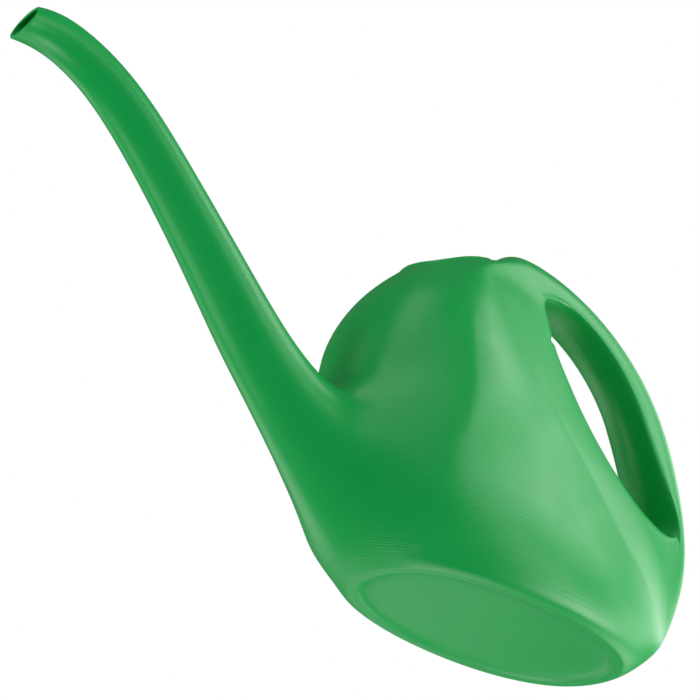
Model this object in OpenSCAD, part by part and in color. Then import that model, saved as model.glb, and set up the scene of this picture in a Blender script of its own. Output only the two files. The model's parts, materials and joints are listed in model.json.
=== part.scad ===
// One-piece moulded watering can: hollow body, long curved spout and a hollow
// handle round a finger hole. X runs from spout to handle, Y across, Z up.
// The origin is the bottom centre of the can's bounding box.

/* [Overall size] */
// Length from spout tip to the back of the handle, mm
can_length = 430; // [320:1:560]
// Greatest width across the body, mm
can_width = 105; // [80:1:140]
// Height from the foot ring to the top of the handle, mm
can_height = 198; // [150:1:260]

/* [Wall and foot] */
// Wall thickness of the moulding, mm
wall = 1.6; // [1.2:0.1:2.4]
// Depth of the recess inside the foot ring, mm
recess_depth = 2; // [1:0.1:4]
// Width of the flat foot ring, mm
foot_width = 5.5; // [4:0.5:9]

/* [Handle, filling mouth and spout] */
// Width of the handle where the fingers go, mm
handle_width = 25; // [20:1:32]
// Width of the filling mouth on top, mm
mouth_width = 40; // [30:1:46]
// Height of the collar round the filling mouth, mm
collar_height = 1.2; // [0.8:0.2:6]
// Outer diameter of the spout at its tip, between its height and its width, mm
tip_diameter = 18.4; // [12:0.2:24]

/* [Hidden] */
can_green = [0.13, 0.62, 0.32];

// Size of the can that the points below describe.
drawn_length = 429.5;
drawn_width = 104.6;
drawn_height = 197.6;
scale_x = can_length / drawn_length;
scale_y = can_width / drawn_width;
scale_z = can_height / drawn_height;
grip_scale = handle_width / 25;
mouth_scale = mouth_width / 42;

// The skin is drawn as six rings of points round the finger hole, 21 points
// in each, numbered from the front end of the hole, over the handle, down the
// back and forward along the body. Each point is [x, half width, z].
spokes = 21;
hole_middle = [
    [6, 0, 178], [17, 0, 177], [32, 0, 174], [50, 0, 163.5], [66.5, 0, 149], [80, 0, 132],
    [90.5, 0, 110.5], [100, 0, 96], [102.5, 0, 89.5], [99, 0, 88], [90, 0, 89],
    [78, 0, 93], [65, 0, 99], [52, 0, 107], [40, 0, 116], [29, 0, 126], [20, 0, 137],
    [13, 0, 148], [8, 0, 158], [5, 0, 166], [3, 0, 173]
];
hole_edge = [
    [2, 14, 176], [16, 13, 180], [33, 12.5, 177], [53, 12.5, 168], [71, 12.5, 153],
    [84, 13.5, 134], [96, 15, 113], [106, 17, 97], [108, 17.5, 86], [101, 17.5, 82],
    [89, 18, 84], [76, 18, 89], [62, 19, 96], [49, 19.5, 104], [37, 20, 113],
    [26, 20, 123], [16, 19.5, 135], [8, 18.5, 146], [4, 17.5, 156], [1, 16.5, 164],
    [-1, 15.5, 170]
];
side_crease = [
    [-18, 15, 182], [-6, 13, 188], [24, 13, 183], [51, 13, 173], [74, 13, 157],
    [90, 13, 139], [103, 15, 116], [112, 17, 91], [113, 18, 60], [100, 18, 29],
    [82.5, 30, 34], [61.5, 39, 42], [39.5, 41.5, 56], [19, 41, 75], [0.5, 41.5, 89.5],
    [-14.5, 41.5, 101.5], [-28, 41, 112.5], [-37.5, 39, 126], [-43.5, 35, 140],
    [-45.5, 29.5, 155], [-42.5, 21.5, 168.5]
];
widest = [
    [-26, 16, 183], [-13, 11.5, 192], [20, 11.5, 190], [52, 11.5, 180], [79, 11.5, 163],
    [96, 11.5, 143], [110, 11.5, 119], [117, 14, 91], [117, 15, 60], [105, 14, 27],
    [84, 32, 18], [48, 48, 22], [4, 56, 26], [-54, 60, 25], [-78, 56, 33], [-72, 59, 74],
    [-72, 54.5, 99], [-70, 48.5, 118], [-68, 41.5, 136], [-63, 33, 152], [-52, 27, 165]
];
// Four points of this ring, left out here, lie on the foot's outline.
shoulder_back = [
    [-31, 13, 181], [-17, 7, 197], [17, 7.5, 197], [54, 7.5, 187], [83, 7.5, 169],
    [101, 7.5, 149], [115, 7.5, 123], [122, 7.5, 92], [122, 8, 60], [110, 8, 27]
];
shoulder_front = [
    [-100, 23, 15], [-105.5, 27, 51], [-109, 19, 77], [-108, 29, 105], [-95, 26, 135],
    [-75, 17, 157], [-54, 21, 170]
];
parting = [
    [-27, 0, 184], [-19, 0, 198], [16, 0, 199], [55, 0, 189], [85, 0, 170], [103, 0, 150],
    [117, 0, 124], [124, 0, 92], [123, 0, 60], [110, 0, 26], [86, 0, 2.5], [28, 0, 2.5],
    [-26, 0, 2.5], [-86, 0, 2.5], [-95, 0, 6], [-110.5, 0, 56], [-111, 0, 79],
    [-108, 0, 111], [-99, 0, 139.5], [-80, 0, 159], [-50, 0, 171]
];

// Spout sections from the body to the tip: [x, z, radius, half width, tilt].
tip_radius = tip_diameter / 2;
spout_sections = [
    [-128, 57.5, 19.5, 18.5, 39], [-146.3, 69.2, 16, 16.2, 39],
    [-165.5, 84.5, 14.8, 15, 40], [-190.5, 108, 13.2, 13.3, 41],
    [-217.5, 131.5, 12.1, 12.1, 39], [-243.7, 152.8, 11.4, 11.5, 34],
    [-266, 165.3, 10.5, 10.5, 22], [-286.5, 170.3, 9.7, 9.9, 8],
    [-298.5, 169.3, tip_radius - 0.1, tip_radius + 0.3, 10],
    [-304.7, 167.6, tip_radius - 0.4, tip_radius + 0.2, 14]
];
// A smoothed ring of eight points ends up this much smaller than drawn.
ring_swell = 1.108;

// Foot outlines as [half length, half width, height], from outside inwards.
foot_half_length = 76;
foot_half_width = 43;
foot_rings = [
    [foot_half_length, foot_half_width, 0],
    [foot_half_length - foot_width, foot_half_width - 0.75 * foot_width, 0],
    [foot_half_length - foot_width - 3, foot_half_width - 0.75 * foot_width - 3, recess_depth],
    [50, 23, recess_depth]
];

// Ten points of an oval with full corners.
function oval(ring) = [
    for (p = [[1.05, 0], [0.92, -0.66], [0.385, -1.075], [-0.385, -1.075], [-0.92, -0.66],
              [-1.05, 0], [-0.92, 0.66], [-0.385, 1.075], [0.385, 1.075], [0.92, 0.66]])
        [ring[0] * p[0], ring[1] * p[1], ring[2]]
];
foot_outline = oval([82, 48, 2.5]);

function near(points) = [for (p = points) [p[0], -p[1], p[2]]];
function both(points) = concat(near(points), points);
function narrowed(points) = [
    for (i = [0:spokes - 1])
        let (p = points[i])
        i > 0 && i < 9 ? [p[0], p[1] * grip_scale, p[2]] : p
];
shoulder = narrowed(concat(
    [[shoulder_back[0][0], shoulder_back[0][1] * mouth_scale, shoulder_back[0][2]]],
    [for (i = [1:9]) shoulder_back[i]],
    [for (i = [1:4]) [foot_outline[i][0], -foot_outline[i][1], foot_outline[i][2]]],
    [for (i = [0:4]) shoulder_front[i]],
    [for (i = [5:6]) [shoulder_front[i][0], shoulder_front[i][1] * mouth_scale, shoulder_front[i][2]]]
));
body_points = concat(
    hole_middle, parting,
    both(narrowed(hole_edge)), both(narrowed(side_crease)), both(narrowed(widest)), both(shoulder)
);

// Number of the point on a ring (0 the hole's middle, 5 the parting line).
function at(ring, i, side) =
    ring == 0 ? i % spokes
    : ring == 5 ? spokes + i % spokes
    : (2 * ring + side) * spokes + i % spokes;

function turned(face, side) = side == 0 ? face : [face[3], face[2], face[1], face[0]];
// Strips of the skin; the outermost is left open at the foot, spout and mouth.
open_spokes = [10, 11, 12, 14, 15, 19, 20];
function is_open(ring, i) = ring == 4 && len(search(i, open_spokes)) > 0;
body_faces = [
    for (ring = [0:4]) for (i = [0:spokes - 1]) if (!is_open(ring, i)) for (side = [0:1])
        turned([at(ring, i, side), at(ring, i + 1, side),
                at(ring + 1, i + 1, side), at(ring + 1, i, side)], side)
];
// The handle takes the strips over the finger hole.
body_owner = [
    for (ring = [0:4]) for (i = [0:spokes - 1]) if (!is_open(ring, i)) for (side = [0:1])
        i > 0 && i < 8 ? 1 : 0
];

// Faces that join a loop of points to the next loop.
function band(from, to) = [
    for (k = [0:len(from) - 1])
        let (n = (k + 1) % len(from))
        [from[k], from[n], to[n], to[k]]
];
function run(first, count) = [for (k = [0:count - 1]) first + k];

foot_start = len(body_points);
foot_points = concat([for (ring = foot_rings) each oval(ring)], [[28, 0, recess_depth], [-28, 0, recess_depth]]);
outline_ids = [
    at(5, 10, 0), at(4, 10, 0), at(4, 11, 0), at(4, 12, 0), at(4, 13, 0),
    at(5, 13, 0), at(4, 13, 1), at(4, 12, 1), at(4, 11, 1), at(4, 10, 1)
];
foot_loops = concat([outline_ids], [for (k = [0:3]) run(foot_start + 10 * k, 10)]);
c = foot_loops[4];
back_mid = foot_start + 40;
front_mid = foot_start + 41;
centre_faces = [
    [c[0], c[1], c[2], back_mid], [back_mid, c[2], c[3], front_mid], [front_mid, c[3], c[4], c[5]],
    [c[5], c[6], c[7], front_mid], [front_mid, c[7], c[8], back_mid], [back_mid, c[8], c[9], c[0]]
];

function section(s) = [
    for (k = [0:7])
        let (r = s[2] * ring_swell * cos(45 * k), across = -s[3] * ring_swell * sin(45 * k))
        [s[0] + r * sin(s[4]), across, s[1] + r * cos(s[4])]
];
spout_start = foot_start + len(foot_points);
spout_points = [for (s = spout_sections) each section(s)];
root_ids = [
    at(5, 16, 0), at(4, 16, 0), at(4, 15, 0), at(4, 14, 0),
    at(5, 14, 0), at(4, 14, 1), at(4, 15, 1), at(4, 16, 1)
];
sections = len(spout_sections);
spout_loops = concat([root_ids], [for (k = [0:sections - 1]) run(spout_start + 8 * k, 8)]);

// The collar stands square to the mouth, which leans forward.
mouth_ids = [
    at(5, 19, 0), at(4, 19, 0), at(4, 20, 0), at(4, 0, 0),
    at(5, 0, 0), at(4, 0, 1), at(4, 20, 1), at(4, 19, 1)
];
mouth_middle = [-53, 0, 171];
collar_step = collar_height * [-0.43, 0, 0.9];
collar_start = spout_start + len(spout_points);
collar_points = [
    for (k = mouth_ids)
        let (p = body_points[k])
        mouth_middle + (p - mouth_middle) * 0.96 + collar_step
];
collar_ids = run(collar_start, 8);

drawn_points = concat(body_points, foot_points, spout_points, collar_points);
drawn_faces = concat(
    body_faces,
    [for (k = [0:3]) each band(foot_loops[k], foot_loops[k + 1])],
    centre_faces,
    [for (k = [0:sections - 1]) each band(spout_loops[k + 1], spout_loops[k])],
    band(mouth_ids, collar_ids)
);
// Which node each drawn face belongs to, as its place in NODES.
owner = concat(
    body_owner,
    [for (k = [0:19]) 3], [for (k = [0:25]) 2],
    [for (k = [0:sections - 1]) for (m = [0:7]) k == sections - 1 ? 5 : 4],
    [for (k = [0:7]) 6]
);

// Smoothing. A skin is [points, start of each edge, opposite edge, sharpness,
// edges leaving each point]; edge e belongs to face floor(e / 4).
function next(e) = e - e % 4 + (e + 1) % 4;
function prev(e) = e - e % 4 + (e + 3) % 4;
function key(a, b) = a * 10000 + b;

edge_start = [for (f = drawn_faces) each f];
edge_count = len(edge_start);
edge_keys = [for (e = [0:edge_count - 1]) key(edge_start[e], edge_start[next(e)])];
back_keys = [for (e = [0:edge_count - 1]) key(edge_start[next(e)], edge_start[e])];
found = search(back_keys, edge_keys, 1);
opposite = [for (f = found) is_num(f) ? f : -1];

// Sharp lines: the hole's edge along the body, the side crease, both edges of
// the foot and the mouth. The hole's edge along the handle is rounder.
function line_keys(ids) = [for (k = [0:len(ids) - 2]) each [key(ids[k], ids[k + 1]), key(ids[k + 1], ids[k])]];
sharp_keys = concat(
    [for (side = [0:1]) each line_keys([for (i = [8:spokes]) at(1, i, side)])],
    [for (side = [0:1]) each line_keys([for (i = [9:20]) at(2, i, side)])],
    [for (k = [1:2]) each line_keys(concat(foot_loops[k], [foot_loops[k][0]]))],
    line_keys(concat(mouth_ids, [mouth_ids[0]]))
);
rounder_keys = [for (side = [0:1]) each line_keys([for (i = [0:8]) at(1, i, side)])];
line_hits = search(edge_keys, concat(sharp_keys, rounder_keys), 1);
sharpness = [for (hit = line_hits) is_num(hit) ? (hit < len(sharp_keys) ? 2 : 1) : 0];
leaving = search(run(0, len(drawn_points)), edge_start, 0);

function total(v) = [for (i = 0, s = v[0]; i < len(v); i = i + 1, s = i < len(v) ? s + v[i] : s) s][len(v) - 1];

function smooth(skin) =
    let (
        p = skin[0], start = skin[1], twin = skin[2], sharp = skin[3], out = skin[4],
        edges = len(start), corners = len(p),
        middle = [for (e = [0:4:edges - 1]) (p[start[e]] + p[start[e + 1]] + p[start[e + 2]] + p[start[e + 3]]) / 4],
        on_edge = [
            for (e = [0:edges - 1])
                let (half = (p[start[e]] + p[start[next(e)]]) / 2)
                twin[e] < 0 || sharp[e] > 0 ? half
                : (half + (middle[floor(e / 4)] + middle[floor(twin[e] / 4)]) / 2) / 2
        ],
        at_corner = [
            for (v = [0:corners - 1])
                let (
                    n = len(out[v]),
                    rim = concat(
                        [for (e = out[v]) if (twin[e] < 0 || sharp[e] > 0) p[start[next(e)]]],
                        [for (e = out[v]) if (twin[prev(e)] < 0) p[start[prev(e)]]]
                    )
                )
                n == 0 || len(rim) > 2 ? p[v]
                : len(rim) == 2 ? (rim[0] + rim[1] + 6 * p[v]) / 8
                : (total([for (e = out[v]) middle[floor(e / 4)]]) / n
                   + total([for (e = out[v]) p[v] + p[start[next(e)]]]) / n
                   + (n - 3) * p[v]) / n
        ],
        edge_id = [for (e = [0:edges - 1]) corners + (twin[e] < 0 ? e : min(e, twin[e]))]
    )
    [
        concat(at_corner, on_edge, middle),
        [for (e = [0:edges - 1]) each [start[e], edge_id[e], corners + edges + floor(e / 4), edge_id[prev(e)]]],
        [
            for (e = [0:edges - 1])
                let (before = twin[prev(e)])
                each [
                    twin[e] < 0 ? -1 : 4 * next(twin[e]) + 3,
                    4 * next(e) + 2,
                    4 * prev(e) + 1,
                    before < 0 ? -1 : 4 * before
                ]
        ],
        [for (e = [0:edges - 1]) each [max(sharp[e] - 1, 0), 0, 0, max(sharp[prev(e)] - 1, 0)]],
        concat(
            [for (v = out) [for (e = v) 4 * e]],
            [
                for (e = [0:edges - 1])
                    twin[e] >= 0 && twin[e] < e ? []
                    : concat([4 * e + 1, 4 * next(e) + 3],
                             twin[e] < 0 ? [] : [4 * twin[e] + 1, 4 * next(twin[e]) + 3])
            ],
            [for (f = [0:edges / 4 - 1]) [for (k = [0:3]) 4 * (4 * f + k) + 2]]
        )
    ];

fine = smooth(smooth([drawn_points, edge_start, opposite, sharpness, leaving]));
fine_start = fine[1];
fine_twin = fine[2];
used = [for (v = [0:len(fine[0]) - 1]) if (len(fine[4][v]) > 0) fine[0][v]];
middle_x = (min([for (p = used) p[0]]) + max([for (p = used) p[0]])) / 2;
outer = [for (p = fine[0]) [(p[0] - middle_x) * scale_x, p[1] * scale_y, p[2] * scale_z]];
function unit(v) = v / max(norm(v), 0.000001);
inner = [
    for (v = [0:len(outer) - 1])
        let (out = fine[4][v])
        len(out) == 0 ? outer[v]
        : outer[v] - wall * unit(total([
            for (e = out)
                cross(outer[fine_start[next(e)]] - outer[v], outer[fine_start[prev(e)]] - outer[v])
        ]))
];

// One node: its share of the skin as a closed shell, outside and inside faces
// joined along the border.
module shell_part(number) {
    many = len(outer);
    mine = [for (f = [0:len(fine_start) / 4 - 1]) if (owner[floor(f / 16)] == number) f];
    border = [
        for (f = mine) for (k = [0:3])
            let (e = 4 * f + k, t = fine_twin[e])
            if (t < 0 || owner[floor(t / 64)] != number) e
    ];
    sheet = [
        for (f = mine)
            let (a = fine_start[4 * f], b = fine_start[4 * f + 1], c = fine_start[4 * f + 2], d = fine_start[4 * f + 3])
            each [[a, c, b], [a, d, c], [a + many, b + many, c + many], [a + many, c + many, d + many]]
    ];
    edge = [
        for (e = border)
            let (a = fine_start[e], b = fine_start[next(e)], ai = a + many, bi = b + many)
            each a < b ? [[a, b, bi], [a, bi, ai]] : [[b, ai, a], [b, bi, ai]]
    ];
    polyhedron(points = concat(outer, inner), faces = concat(sheet, edge), convexity = 8);
}

module tank() { color(can_green) shell_part(0); }
module handle() { color(can_green) shell_part(1); }
module base_panel() { color(can_green) shell_part(2); }
module foot_ring() { color(can_green) shell_part(3); }
module spout() { color(can_green) shell_part(4); }
module spout_lip() { color(can_green) shell_part(5); }
module filler_rim() { color(can_green) shell_part(6); }

tank();
handle();
base_panel();
foot_ring();
spout();
spout_lip();
filler_rim();
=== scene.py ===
import json
from math import cos, pi, radians, sin

import bpy
import numpy as np
from mathutils import Matrix, Vector

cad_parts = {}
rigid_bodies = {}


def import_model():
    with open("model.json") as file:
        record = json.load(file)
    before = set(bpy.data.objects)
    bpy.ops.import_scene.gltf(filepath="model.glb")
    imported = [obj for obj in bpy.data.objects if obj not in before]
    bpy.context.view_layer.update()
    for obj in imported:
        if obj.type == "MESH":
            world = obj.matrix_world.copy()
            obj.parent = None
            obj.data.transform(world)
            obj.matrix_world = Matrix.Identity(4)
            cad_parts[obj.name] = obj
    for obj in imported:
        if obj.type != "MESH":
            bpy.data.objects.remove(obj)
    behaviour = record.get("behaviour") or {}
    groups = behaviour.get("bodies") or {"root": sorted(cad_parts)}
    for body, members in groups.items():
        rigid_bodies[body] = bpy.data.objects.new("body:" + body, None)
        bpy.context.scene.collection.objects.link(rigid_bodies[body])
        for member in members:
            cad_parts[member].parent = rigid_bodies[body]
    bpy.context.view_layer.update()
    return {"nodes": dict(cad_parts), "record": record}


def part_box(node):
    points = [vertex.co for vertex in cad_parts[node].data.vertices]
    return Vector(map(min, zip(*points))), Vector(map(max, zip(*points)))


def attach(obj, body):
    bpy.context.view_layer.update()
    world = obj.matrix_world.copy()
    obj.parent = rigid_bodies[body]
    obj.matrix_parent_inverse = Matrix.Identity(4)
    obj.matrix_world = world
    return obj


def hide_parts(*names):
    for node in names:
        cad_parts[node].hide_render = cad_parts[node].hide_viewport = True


print("loading the can")
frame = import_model()
regionNames = [part["node"] for part in frame["record"]["subparts"]]
canLow = Vector([min(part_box(name)[0][k] for name in regionNames) for k in range(3)])
canHigh = Vector([max(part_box(name)[1][k] for name in regionNames) for k in range(3)])


def deselectAll():
    for thing in bpy.context.view_layer.objects:
        thing.select_set(False)


def makeActive(thing):
    deselectAll()
    thing.select_set(True)
    bpy.context.view_layer.objects.active = thing


def clearMeshSelection(mode="VERT"):
    bpy.ops.object.mode_set(mode="EDIT")
    bpy.ops.mesh.select_mode(type=mode)
    bpy.ops.mesh.select_all(action="DESELECT")
    bpy.ops.object.mode_set(mode="OBJECT")


# The moulding is one even skin, so the regions are first joined into a single
# outer surface. Its smoothness then runs on across every border.
skinLook = {
    "wall": 0.0016,        # thickness of the plastic, m
    "samePlace": 0.00002,  # points closer than this are one point, m
    "tipFacing": (-0.97, 0, 0.24),    # the way that the spout's tip opens
    "mouthFacing": (-0.43, 0, 0.9),   # the way used to tell the walls at the filling mouth
    "endOn": 0.3,          # how squarely an end wall faces out of its opening, 1 is fully
    "sideSlack": 0.000001,  # how far a side may differ from the wall's thickness, m
    "finer": 2,            # levels of subdivision
    "ridgeTurn": 2.0,      # a line that turns this much more than its neighbours is a ridge, degrees
    "ridgeCrease": 0.75,   # how far the subdivision keeps a ridge tight
    "lipSteps": 4,         # faces round the rounded edge of an opening
    "lipBulge": 0.6,       # how round that edge is, 1 is a half circle
}


def joinRegions():
    copies = []
    for number, name in enumerate(regionNames):
        mesh = frame["nodes"][name].data.copy()
        mesh.materials.clear()
        tag = mesh.attributes.new("region", "INT", "FACE")
        tag.data.foreach_set("value", [number] * len(mesh.polygons))
        piece = bpy.data.objects.new("copyOf" + name, mesh)
        bpy.context.scene.collection.objects.link(piece)
        copies.append(piece)
    deselectAll()
    for piece in copies:
        piece.select_set(True)
    bpy.context.view_layer.objects.active = copies[0]
    bpy.ops.object.join()
    skin = bpy.context.view_layer.objects.active
    skin.name = "outerSkin"
    return skin


def meshArrays(mesh):
    points = np.zeros(len(mesh.vertices) * 3)
    mesh.vertices.foreach_get("co", points)
    centres = np.zeros(len(mesh.polygons) * 3)
    mesh.polygons.foreach_get("center", centres)
    region = np.zeros(len(mesh.polygons), int)
    mesh.attributes["region"].data.foreach_get("value", region)
    return points.reshape(-1, 3), centres.reshape(-1, 3), region


def selectEndWalls(mesh):
    # walls between two regions lie twice in one place
    points, centres, region = meshArrays(mesh)
    places = np.round(centres / skinLook["samePlace"]).astype(int)
    seen, walls = {}, np.zeros(len(places), bool)
    for face, place in enumerate(places):
        for other in [
            seen.get((place[0] + a, place[1] + b, place[2] + c))
            for a in (-1, 0, 1) for b in (-1, 0, 1) for c in (-1, 0, 1)
        ]:
            if other is not None and region[other] != region[face]:
                walls[face] = walls[other] = True
        seen[tuple(place)] = face
    # walls at the two open ends have a side exactly as long as the wall is thick
    facing = {
        regionNames.index("spout_lip"): Vector(skinLook["tipFacing"]),
        regionNames.index("filler_rim"): Vector(skinLook["mouthFacing"]),
    }
    for face in mesh.polygons:
        if region[face.index] in facing and not walls[face.index]:
            corner = points[list(face.vertices)]
            sides = np.linalg.norm(corner - np.roll(corner, 1, axis=0), axis=1)
            endOn = abs(face.normal.dot(facing[region[face.index]])) > skinLook["endOn"]
            walls[face.index] = endOn and np.abs(sides - skinLook["wall"]).min() < skinLook["sideSlack"]
    mesh.polygons.foreach_set("select", walls)
    return int(walls.sum())


def keepOuterSide(skin):
    # the furthest point back is outside, and all joined to it is the outside
    clearMeshSelection()
    points = meshArrays(skin.data)[0]
    skin.data.vertices[int(points[:, 0].argmax())].select = True
    bpy.ops.object.mode_set(mode="EDIT")
    bpy.ops.mesh.select_linked()
    bpy.ops.mesh.select_all(action="INVERT")
    bpy.ops.mesh.delete(type="VERT")
    bpy.ops.object.mode_set(mode="OBJECT")


def dissolveDiagonals(skin):
    # only the ends of a diagonal meet more than four lines
    mesh = skin.data
    clearMeshSelection("EDGE")
    ends = np.zeros(len(mesh.edges) * 2, int)
    mesh.edges.foreach_get("vertices", ends)
    meeting = np.bincount(ends, minlength=len(mesh.vertices))
    diagonal = (meeting[ends.reshape(-1, 2)] > 4).all(axis=1)
    mesh.edges.foreach_set("select", diagonal)
    bpy.ops.object.mode_set(mode="EDIT")
    bpy.ops.mesh.dissolve_edges(use_verts=False)
    bpy.ops.object.mode_set(mode="OBJECT")


def creaseRidges(mesh):
    # a ridge turns more sharply than the lines beside it
    normals = np.array([face.normal for face in mesh.polygons])
    edgesOf = np.zeros(len(mesh.loops), int)
    mesh.loops.foreach_get("edge_index", edgesOf)
    edgesOf = edgesOf.reshape(-1, 4)
    beside = [[] for edge in mesh.edges]
    for face, around in enumerate(edgesOf):
        for k in range(4):
            beside[around[k]].append((face, around[(k + 2) % 4]))
    turn = np.zeros(len(mesh.edges))
    for edge, pair in enumerate(beside):
        if len(pair) == 2:
            turn[edge] = np.degrees(np.arccos(np.clip(normals[pair[0][0]] @ normals[pair[1][0]], -1, 1)))
    crease = mesh.attributes.new("crease_edge", "FLOAT", "EDGE")
    ridges = [
        edge for edge, pair in enumerate(beside)
        if len(pair) == 2 and turn[edge] - max(turn[other] for face, other in pair) > skinLook["ridgeTurn"]
    ]
    for edge in ridges:
        crease.data[edge].value = skinLook["ridgeCrease"]
    return len(ridges)


def makeSkin():
    skin = joinRegions()
    makeActive(skin)
    clearMeshSelection("FACE")
    wallCount = selectEndWalls(skin.data)
    bpy.ops.object.mode_set(mode="EDIT")
    bpy.ops.mesh.delete(type="FACE")
    bpy.ops.mesh.select_all(action="SELECT")
    bpy.ops.mesh.remove_doubles(threshold=skinLook["samePlace"])
    bpy.ops.object.mode_set(mode="OBJECT")
    keepOuterSide(skin)
    dissolveDiagonals(skin)
    print("ridges:", creaseRidges(skin.data), "edges")
    finer = skin.modifiers.new("finer", "SUBSURF")
    finer.levels = finer.render_levels = skinLook["finer"]
    bpy.ops.object.modifier_apply(modifier=finer.name)
    print("skin:", wallCount, "wall faces taken out,", len(skin.data.polygons), "faces")
    return skin


skin = makeSkin()


# Each region becomes a closed piece of its own: outside, inside, and end walls.
def sharedBorders(quads):
    going = {}
    for face, corner in enumerate(quads):
        for k in range(4):
            going[(corner[k], corner[(k + 1) % 4])] = face
    return going


def lipDirections(quads, points, normals, going):
    # at a free edge, the way that points out of the opening
    outwards = {}
    for a, b in going:
        if (b, a) not in going:
            along = points[b] - points[a]
            for end in (a, b):
                way = np.cross(along, normals[end])
                outwards[end] = outwards.get(end, 0) + way / np.linalg.norm(way)
    return {v: way / np.linalg.norm(way) for v, way in outwards.items()}


def skinArrays(skin):
    mesh = skin.data
    points, _, region = meshArrays(mesh)
    normals = np.zeros(len(mesh.vertices) * 3)
    mesh.vertices.foreach_get("normal", normals)
    quads = np.zeros(len(mesh.polygons) * 4, int)
    mesh.polygons.foreach_get("vertices", quads)
    return points, normals.reshape(-1, 3), quads.reshape(-1, 4), region


def makePiece(name, number, points, normals, quads, region, going, outwards):
    wall, steps = skinLook["wall"], skinLook["lipSteps"]
    mine = quads[region == number]
    used = {int(v): k for k, v in enumerate(np.unique(mine))}
    order = list(used)
    count = len(order)
    places = list(points[order]) + list(points[order] - wall * normals[order])
    faces = [[used[int(v)] for v in corner] for corner in mine]
    facing = [[normals[v] for v in corner] for corner in mine]
    faces += [[used[int(v)] + count for v in corner[::-1]] for corner in mine]
    facing += [[-normals[v] for v in corner[::-1]] for corner in mine]
    ladders = {}

    def ladder(v):
        # points from the outside round the lip to the inside, with their normals
        if v not in ladders:
            rungs = [(used[v], normals[v])]
            for step in range(1, steps):
                turn = pi * step / steps
                lean = cos(turn) * normals[v] + skinLook["lipBulge"] * sin(turn) * outwards[v]
                places.append(points[v] + wall / 2 * (lean - normals[v]))
                rungs.append((len(places) - 1, lean / np.linalg.norm(lean)))
            rungs.append((used[v] + count, -normals[v]))
            ladders[v] = rungs
        return ladders[v]

    for corner in mine:
        for k in range(4):
            a, b = int(corner[k]), int(corner[(k + 1) % 4])
            across = going.get((b, a))
            if across is not None and region[across] == number:
                continue
            if across is None:
                left, right = ladder(a), ladder(b)
                for low, high in zip(range(steps), range(1, steps + 1)):
                    rung = [right[low], left[low], left[high], right[high]]
                    faces.append([v for v, way in rung])
                    facing.append([way for v, way in rung])
            else:
                flat = np.cross(points[b] - points[a], normals[a])
                flat /= np.linalg.norm(flat)
                faces.append([used[b], used[a], used[a] + count, used[b] + count])
                facing.append([flat] * 4)
    mesh = bpy.data.meshes.new(name)
    mesh.from_pydata([tuple(p) for p in places], [], faces)
    mesh.polygons.foreach_set("use_smooth", [True] * len(mesh.polygons))
    mesh.normals_split_custom_set([tuple(way) for corner in facing for way in corner])
    piece = bpy.data.objects.new(name, mesh)
    bpy.context.scene.collection.objects.link(piece)
    return piece


points, normals, quads, region = skinArrays(skin)
going = sharedBorders(quads)
outwards = lipDirections(quads, points, normals, going)
pieceNames = {
    "tank": "tankWall", "handle": "hollowHandle", "base_panel": "recessedBase",
    "foot_ring": "footRing", "spout": "curvedSpout", "spout_lip": "pouringLip",
    "filler_rim": "fillingRim",
}
pieces = {}
for number, name in enumerate(regionNames):
    piece = makePiece(pieceNames[name], number, points, normals, quads, region, going, outwards)
    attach(piece, "root")
    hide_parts(name)
    pieces[name] = piece
    print("made", piece.name, len(piece.data.polygons), "faces")
bpy.data.objects.remove(skin)


# Marks that the mould leaves, shared by every green piece.
class groupMaker:
    def __init__(self, name, inputs, outputs):
        self.tree = bpy.data.node_groups.new(name, "ShaderNodeTree")
        for label, kind, value in inputs:
            made = self.tree.interface.new_socket(name=label, in_out="INPUT", socket_type=kind)
            if value is not None:
                made.default_value = value
        for label, kind in outputs:
            self.tree.interface.new_socket(name=label, in_out="OUTPUT", socket_type=kind)
        self.start = self.tree.nodes.new("NodeGroupInput")
        self.end = self.tree.nodes.new("NodeGroupOutput")

    def add(self, kind, settings=(), **values):
        node = self.tree.nodes.new(kind)
        for key, value in dict(settings).items():
            setattr(node, key, value)
        for label, value in values.items():
            # n0, n1 and n2 stand for a math node's unnamed inputs
            numbered = label[0] == "n" and label[1:].isdigit()
            self.feed(node.inputs[int(label[1:]) if numbered else label], value)
        return node

    def feed(self, socket, value):
        if isinstance(value, bpy.types.NodeSocket):
            self.tree.links.new(value, socket)
        else:
            socket.default_value = value

    def math(self, operation, a, b=0.0, c=0.0):
        return self.add("ShaderNodeMath", {"operation": operation}, n0=a, n1=b, n2=c).outputs[0]


markLook = {
    "drift": 14.0,          # scale of the slow wander of the lines
    "patch": 32.0,          # scale of the strong and weak patches
    "bend": 0.004,          # how far the lines wander, m
    "coarseTurns": 0.37,    # turns of the coarse wave for each fine line
    "coarsePart": 0.45,     # its strength beside the fine lines
    "weakest": 0.25,        # strength of the lines between the patches
}


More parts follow.
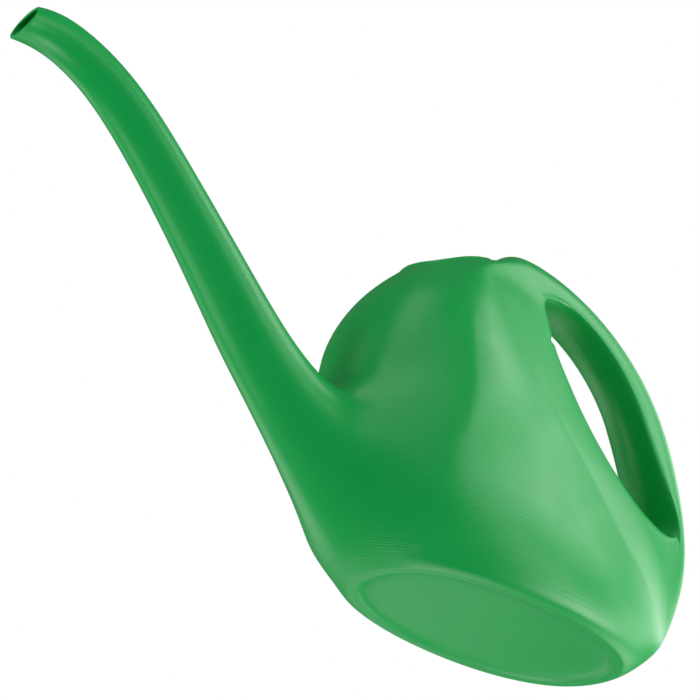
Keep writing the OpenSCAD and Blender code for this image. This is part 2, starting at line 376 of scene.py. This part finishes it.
def makePassMarks():
    # fine level lines that the milled mould prints on the plastic, strong in some patches
    make = groupMaker(
        "passMarks",
        [("Vector", "NodeSocketVector", None), ("Spacing", "NodeSocketFloat", 0.0009),
         ("Depth", "NodeSocketFloat", 0.000003)],
        [("Height", "NodeSocketFloat"), ("Mask", "NodeSocketFloat")],
    )
    place = make.start.outputs["Vector"]
    drift = make.add("ShaderNodeTexNoise", Vector=place, Scale=markLook["drift"], Detail=2.0)
    patch = make.add("ShaderNodeTexNoise", Vector=place, Scale=markLook["patch"], Detail=3.0, Roughness=0.6)
    level = make.add("ShaderNodeSeparateXYZ", Vector=place).outputs["Z"]
    bent = make.math("MULTIPLY_ADD", drift.outputs["Fac"], markLook["bend"], level)
    turns = make.math("DIVIDE", bent, make.start.outputs["Spacing"])
    wave = make.math("SINE", make.math("MULTIPLY", turns, 2 * pi))
    coarse = make.math("SINE", make.math("MULTIPLY", turns, 2 * pi * markLook["coarseTurns"]))
    both = make.math("MULTIPLY_ADD", coarse, markLook["coarsePart"], wave)
    strength = make.add(
        "ShaderNodeMapRange", {"interpolation_type": "SMOOTHSTEP"},
        Value=patch.outputs["Fac"],
        **{"From Min": 0.36, "From Max": 0.62, "To Min": markLook["weakest"], "To Max": 1.0},
    ).outputs["Result"]
    marked = make.math("MULTIPLY", both, strength)
    make.tree.links.new(make.math("MULTIPLY", marked, make.start.outputs["Depth"]), make.end.inputs["Height"])
    make.tree.links.new(strength, make.end.inputs["Mask"])
    return make.tree


def makePartingLine():
    # thin raised line down the middle, where the two halves of the mould met
    make = groupMaker(
        "partingLine",
        [("Vector", "NodeSocketVector", None), ("Width", "NodeSocketFloat", 0.00045),
         ("Depth", "NodeSocketFloat", 0.00008)],
        [("Height", "NodeSocketFloat"), ("Mask", "NodeSocketFloat")],
    )
    across = make.add("ShaderNodeSeparateXYZ", Vector=make.start.outputs["Vector"]).outputs["Y"]
    away = make.math("DIVIDE", make.math("ABSOLUTE", across), make.start.outputs["Width"])
    line = make.add(
        "ShaderNodeMapRange", {"interpolation_type": "SMOOTHSTEP"},
        Value=away, **{"From Min": 0.1, "From Max": 1.0, "To Min": 1.0, "To Max": 0.0},
    ).outputs["Result"]
    uneven = make.add("ShaderNodeTexNoise", Vector=make.start.outputs["Vector"], Scale=60.0, Detail=2.0)
    kept = make.math("MULTIPLY", line, make.math("MULTIPLY_ADD", uneven.outputs["Fac"], 0.8, 0.45))
    make.tree.links.new(make.math("MULTIPLY", kept, make.start.outputs["Depth"]), make.end.inputs["Height"])
    make.tree.links.new(kept, make.end.inputs["Mask"])
    return make.tree


satinLook = {
    "grain": 2200.0,       # scale of the grain
    "cloud": 18.0,         # scale of the uneven pigment
    "scratch": 900.0,      # scale of the scuffs
    "pigment": 0.10,       # how far the pigment changes the colour
    "paler": 0.05,         # how much a scuff lightens it
    "dull": 0.12,          # how much a scuff roughens the skin
    "dullMarks": 0.04,     # how much the level lines roughen it
}


def makeSatinSkin():
    # satin grain, faint handling scuffs and slightly uneven pigment
    make = groupMaker(
        "satinSkin",
        [("Vector", "NodeSocketVector", None), ("Plastic", "NodeSocketColor", (0.0, 0.4, 0.1, 1.0)),
         ("Gloss", "NodeSocketFloat", 0.36), ("Grain", "NodeSocketFloat", 0.000002),
         ("Scuffs", "NodeSocketFloat", 0.3), ("Marked", "NodeSocketFloat", 0.0)],
        [("Color", "NodeSocketColor"), ("Roughness", "NodeSocketFloat"), ("Height", "NodeSocketFloat")],
    )
    place = make.start.outputs["Vector"]
    grain = make.add("ShaderNodeTexNoise", Vector=place, Scale=satinLook["grain"], Detail=2.0)
    cloud = make.add("ShaderNodeTexNoise", Vector=place, Scale=satinLook["cloud"], Detail=4.0)
    stretched = make.add(
        "ShaderNodeMapping", {"vector_type": "POINT"},
        Vector=place, Rotation=(0.3, 0.5, 0.9), Scale=(1.0, 0.06, 0.9),
    ).outputs["Vector"]
    scratch = make.add(
        "ShaderNodeTexNoise", Vector=stretched, Scale=satinLook["scratch"], Detail=3.0, Roughness=0.7,
    )
    thin = make.add(
        "ShaderNodeMapRange", {"interpolation_type": "SMOOTHSTEP"},
        Value=scratch.outputs["Fac"], **{"From Min": 0.62, "From Max": 0.74, "To Min": 0.0, "To Max": 1.0},
    ).outputs["Result"]
    scuffed = make.math("MULTIPLY", thin, make.start.outputs["Scuffs"])
    shift = make.math("MULTIPLY_ADD", cloud.outputs["Fac"], satinLook["pigment"], 0.95)
    shaded = make.add(
        "ShaderNodeHueSaturation",
        Hue=0.5, Saturation=1.0, Value=make.math("MULTIPLY_ADD", scuffed, satinLook["paler"], shift),
        Color=make.start.outputs["Plastic"],
    )
    make.tree.links.new(shaded.outputs["Color"], make.end.inputs["Color"])
    rough = make.math("MULTIPLY_ADD", cloud.outputs["Fac"], 0.06, make.start.outputs["Gloss"])
    rough = make.math("MULTIPLY_ADD", scuffed, satinLook["dull"], rough)
    rough = make.math("MULTIPLY_ADD", make.start.outputs["Marked"], satinLook["dullMarks"], rough)
    make.tree.links.new(rough, make.end.inputs["Roughness"])
    height = make.math("MULTIPLY", grain.outputs["Fac"], make.start.outputs["Grain"])
    make.tree.links.new(height, make.end.inputs["Height"])
    return make.tree


passMarks, partingLine, satinSkin = makePassMarks(), makePartingLine(), makeSatinSkin()
green = (0.001, 0.44, 0.08, 1.0)
plasticLooks = {
    "tank": {"plastic": green, "gloss": 0.29, "marks": 0.0000200, "seam": 0.00005, "scuffs": 0.25},
    "handle": {"plastic": green, "gloss": 0.28, "marks": 0.0000130, "seam": 0.00004, "scuffs": 0.35},
    "base_panel": {"plastic": green, "gloss": 0.32, "marks": 0.0000008, "seam": 0.00004, "scuffs": 0.35},
    "foot_ring": {"plastic": green, "gloss": 0.32, "marks": 0.0000020, "seam": 0.00004, "scuffs": 0.70},
    "spout": {"plastic": green, "gloss": 0.27, "marks": 0.0000004, "seam": 0.00002, "scuffs": 0.20},
    "spout_lip": {"plastic": green, "gloss": 0.29, "marks": 0.0000004, "seam": 0.00002, "scuffs": 0.50},
    "filler_rim": {"plastic": green, "gloss": 0.30, "marks": 0.0000004, "seam": 0.00003, "scuffs": 0.50},
}


def makePlastic(name, look):
    material = bpy.data.materials.new(name)
    material.use_nodes = True
    nodes, links = material.node_tree.nodes, material.node_tree.links
    shader = nodes["Principled BSDF"]
    place = nodes.new("ShaderNodeTexCoord").outputs["Object"]
    placed = {}
    for key, tree in (("passes", passMarks), ("seam", partingLine), ("satin", satinSkin)):
        placed[key] = nodes.new("ShaderNodeGroup")
        placed[key].node_tree = tree
        links.new(place, placed[key].inputs["Vector"])
    placed["passes"].inputs["Depth"].default_value = look["marks"]
    placed["seam"].inputs["Depth"].default_value = look["seam"]
    placed["satin"].inputs["Plastic"].default_value = look["plastic"]
    placed["satin"].inputs["Gloss"].default_value = look["gloss"]
    placed["satin"].inputs["Scuffs"].default_value = look["scuffs"]
    links.new(placed["passes"].outputs["Mask"], placed["satin"].inputs["Marked"])
    height = placed["satin"].outputs["Height"]
    for key in ("passes", "seam"):
        total = nodes.new("ShaderNodeMath")
        links.new(height, total.inputs[0])
        links.new(placed[key].outputs["Height"], total.inputs[1])
        height = total.outputs[0]
    bump = nodes.new("ShaderNodeBump")
    bump.inputs["Strength"].default_value = 1.0
    bump.inputs["Distance"].default_value = 1.0
    links.new(height, bump.inputs["Height"])
    links.new(bump.outputs["Normal"], shader.inputs["Normal"])
    links.new(placed["satin"].outputs["Color"], shader.inputs["Base Color"])
    links.new(placed["satin"].outputs["Roughness"], shader.inputs["Roughness"])
    shader.inputs["IOR"].default_value = 1.5
    return material


for name, piece in pieces.items():
    piece.data.materials.append(makePlastic("greenPlastic" + pieceNames[name], plasticLooks[name]))
print("materials done")


# Studio: pale floor, soft boxes, camera below the foot looking up.
studioLook = {
    "floorColor": (0.80, 0.81, 0.80, 1.0),
    "floorSize": 6.0,
    "skyForLight": 0.12,
    "boxes": {
        # name: [direction from the can, distance, width, height, power]
        "farLeft": [(-0.99, 0.04, -0.17), 1.6, 0.8, 0.8, 9.5],
        "lowRight": [(0.74, -0.62, -0.23), 1.6, 0.8, 0.8, 13.5],
        "fromBelow": [(0.23, 0.12, -0.97), 1.6, 0.8, 0.8, 7.1],
        "highLeft": [(-0.55, -0.35, 0.75), 1.6, 0.7, 1.8, 5.5],
        "farRight": [(0.97, -0.21, 0.1), 1.6, 0.8, 0.8, 3.4],
        "highRight": [(0.65, -0.42, 0.63), 1.6, 0.8, 0.8, 6.2],
        "highBack": [(0.85, 0.31, 0.43), 1.6, 0.8, 0.8, 3.5],
        "lowBack": [(0.89, 0.12, -0.43), 1.6, 0.8, 0.8, 3.9],
        "front": [(0.4, -0.86, 0.3), 1.6, 0.8, 0.8, 3.5],
        "lowLeft": [(-0.71, 0.49, -0.5), 1.6, 0.8, 0.8, 3.4],
        "lowBehind": [(0.38, 0.67, -0.63), 1.6, 0.8, 0.8, 2.4],
        "behind": [(-0.04, 0.95, -0.3), 1.6, 0.8, 0.8, 2.2],
        "frontLeft": [(-0.4, -0.77, 0.5), 1.6, 0.8, 0.8, 1.8],
        "overFloor": [(0, 0, 1), 4.0, 5.0, 5.0, 300],
        "behindLeft": [(-0.86, 0.35, 0.37), 1.6, 0.8, 0.8, 1.7],
    },
    "cameraPlace": (-0.55528, -0.70433, -0.37177),
    "cameraAround": 37.6,     # from straight across towards the spout, degrees
    "cameraRise": -28.0,      # above the level, degrees
    "cameraRoll": 8.9,        # degrees
    "cameraLens": 112.17,
}


def makeFloor():
    bpy.ops.mesh.primitive_plane_add(size=studioLook["floorSize"], location=(0, 0, 0))
    floor = bpy.context.active_object
    floor.name = "studioFloor"
    material = bpy.data.materials.new("paleFloor")
    material.use_nodes = True
    nodes, links = material.node_tree.nodes, material.node_tree.links
    shader = nodes["Principled BSDF"]
    shader.inputs["Base Color"].default_value = studioLook["floorColor"]
    shader.inputs["Roughness"].default_value = 0.7
    # from underneath the floor isn't there
    clear = nodes.new("ShaderNodeBsdfTransparent")
    mix = nodes.new("ShaderNodeMixShader")
    links.new(nodes.new("ShaderNodeNewGeometry").outputs["Backfacing"], mix.inputs["Fac"])
    links.new(shader.outputs["BSDF"], mix.inputs[1])
    links.new(clear.outputs["BSDF"], mix.inputs[2])
    links.new(mix.outputs["Shader"], nodes["Material Output"].inputs["Surface"])
    floor.data.materials.append(material)
    floor.visible_diffuse = floor.visible_glossy = False
    floor.visible_shadow = floor.visible_transmission = False


def makeWorld():
    world = bpy.data.worlds.new("whiteStudio")
    bpy.context.scene.world = world
    world.use_nodes = True
    nodes, links = world.node_tree.nodes, world.node_tree.links
    seen, lit = nodes["Background"], nodes.new("ShaderNodeBackground")
    seen.inputs["Color"].default_value = (1, 1, 1, 1)
    lit.inputs["Color"].default_value = (1, 1, 1, 1)
    lit.inputs["Strength"].default_value = studioLook["skyForLight"]
    mix = nodes.new("ShaderNodeMixShader")
    links.new(nodes.new("ShaderNodeLightPath").outputs["Is Camera Ray"], mix.inputs["Fac"])
    links.new(lit.outputs["Background"], mix.inputs[1])
    links.new(seen.outputs["Background"], mix.inputs[2])
    links.new(mix.outputs["Shader"], nodes["World Output"].inputs["Surface"])


def makeSoftBoxes():
    aim = (canLow + canHigh) / 2
    # the boxes light the can only, and the floor has one wide light of its own
    canOnly, floorOnly = (bpy.data.collections.new(name) for name in ("litByBoxes", "litFromAbove"))
    for thing in bpy.context.scene.objects:
        if thing.type == "MESH":
            (floorOnly if thing.name == "studioFloor" else canOnly).objects.link(thing)
    for name, (way, distance, width, height, power) in studioLook["boxes"].items():
        light = bpy.data.lights.new(name, "AREA")
        light.shape = "RECTANGLE"
        light.size, light.size_y = width, height
        light.energy = power
        lamp = bpy.data.objects.new(name, light)
        way = Vector(way).normalized()
        lamp.location = aim + way * distance
        lamp.rotation_euler = way.to_track_quat("Z", "Y").to_euler()
        lamp.light_linking.receiver_collection = floorOnly if name == "overFloor" else canOnly
        bpy.context.scene.collection.objects.link(lamp)


def makeCamera():
    camera = bpy.data.objects.new("camera", bpy.data.cameras.new("camera"))
    camera.data.sensor_width = 36
    camera.data.lens = studioLook["cameraLens"]
    camera.data.clip_start, camera.data.clip_end = 0.01, 50
    around, rise = radians(studioLook["cameraAround"]), radians(studioLook["cameraRise"])
    back = Vector((-sin(around) * cos(rise), -cos(around) * cos(rise), sin(rise)))
    level = back.to_track_quat("Z", "Y").to_matrix().to_4x4()
    roll = Matrix.Rotation(radians(studioLook["cameraRoll"]), 4, "Z")
    camera.matrix_world = Matrix.Translation(studioLook["cameraPlace"]) @ level @ roll
    bpy.context.scene.collection.objects.link(camera)
    bpy.context.scene.camera = camera


makeFloor()
makeWorld()
makeSoftBoxes()
makeCamera()
bpy.context.scene.view_settings.view_transform = "Standard"
print("studio done")

bpy.context.view_layer.update()
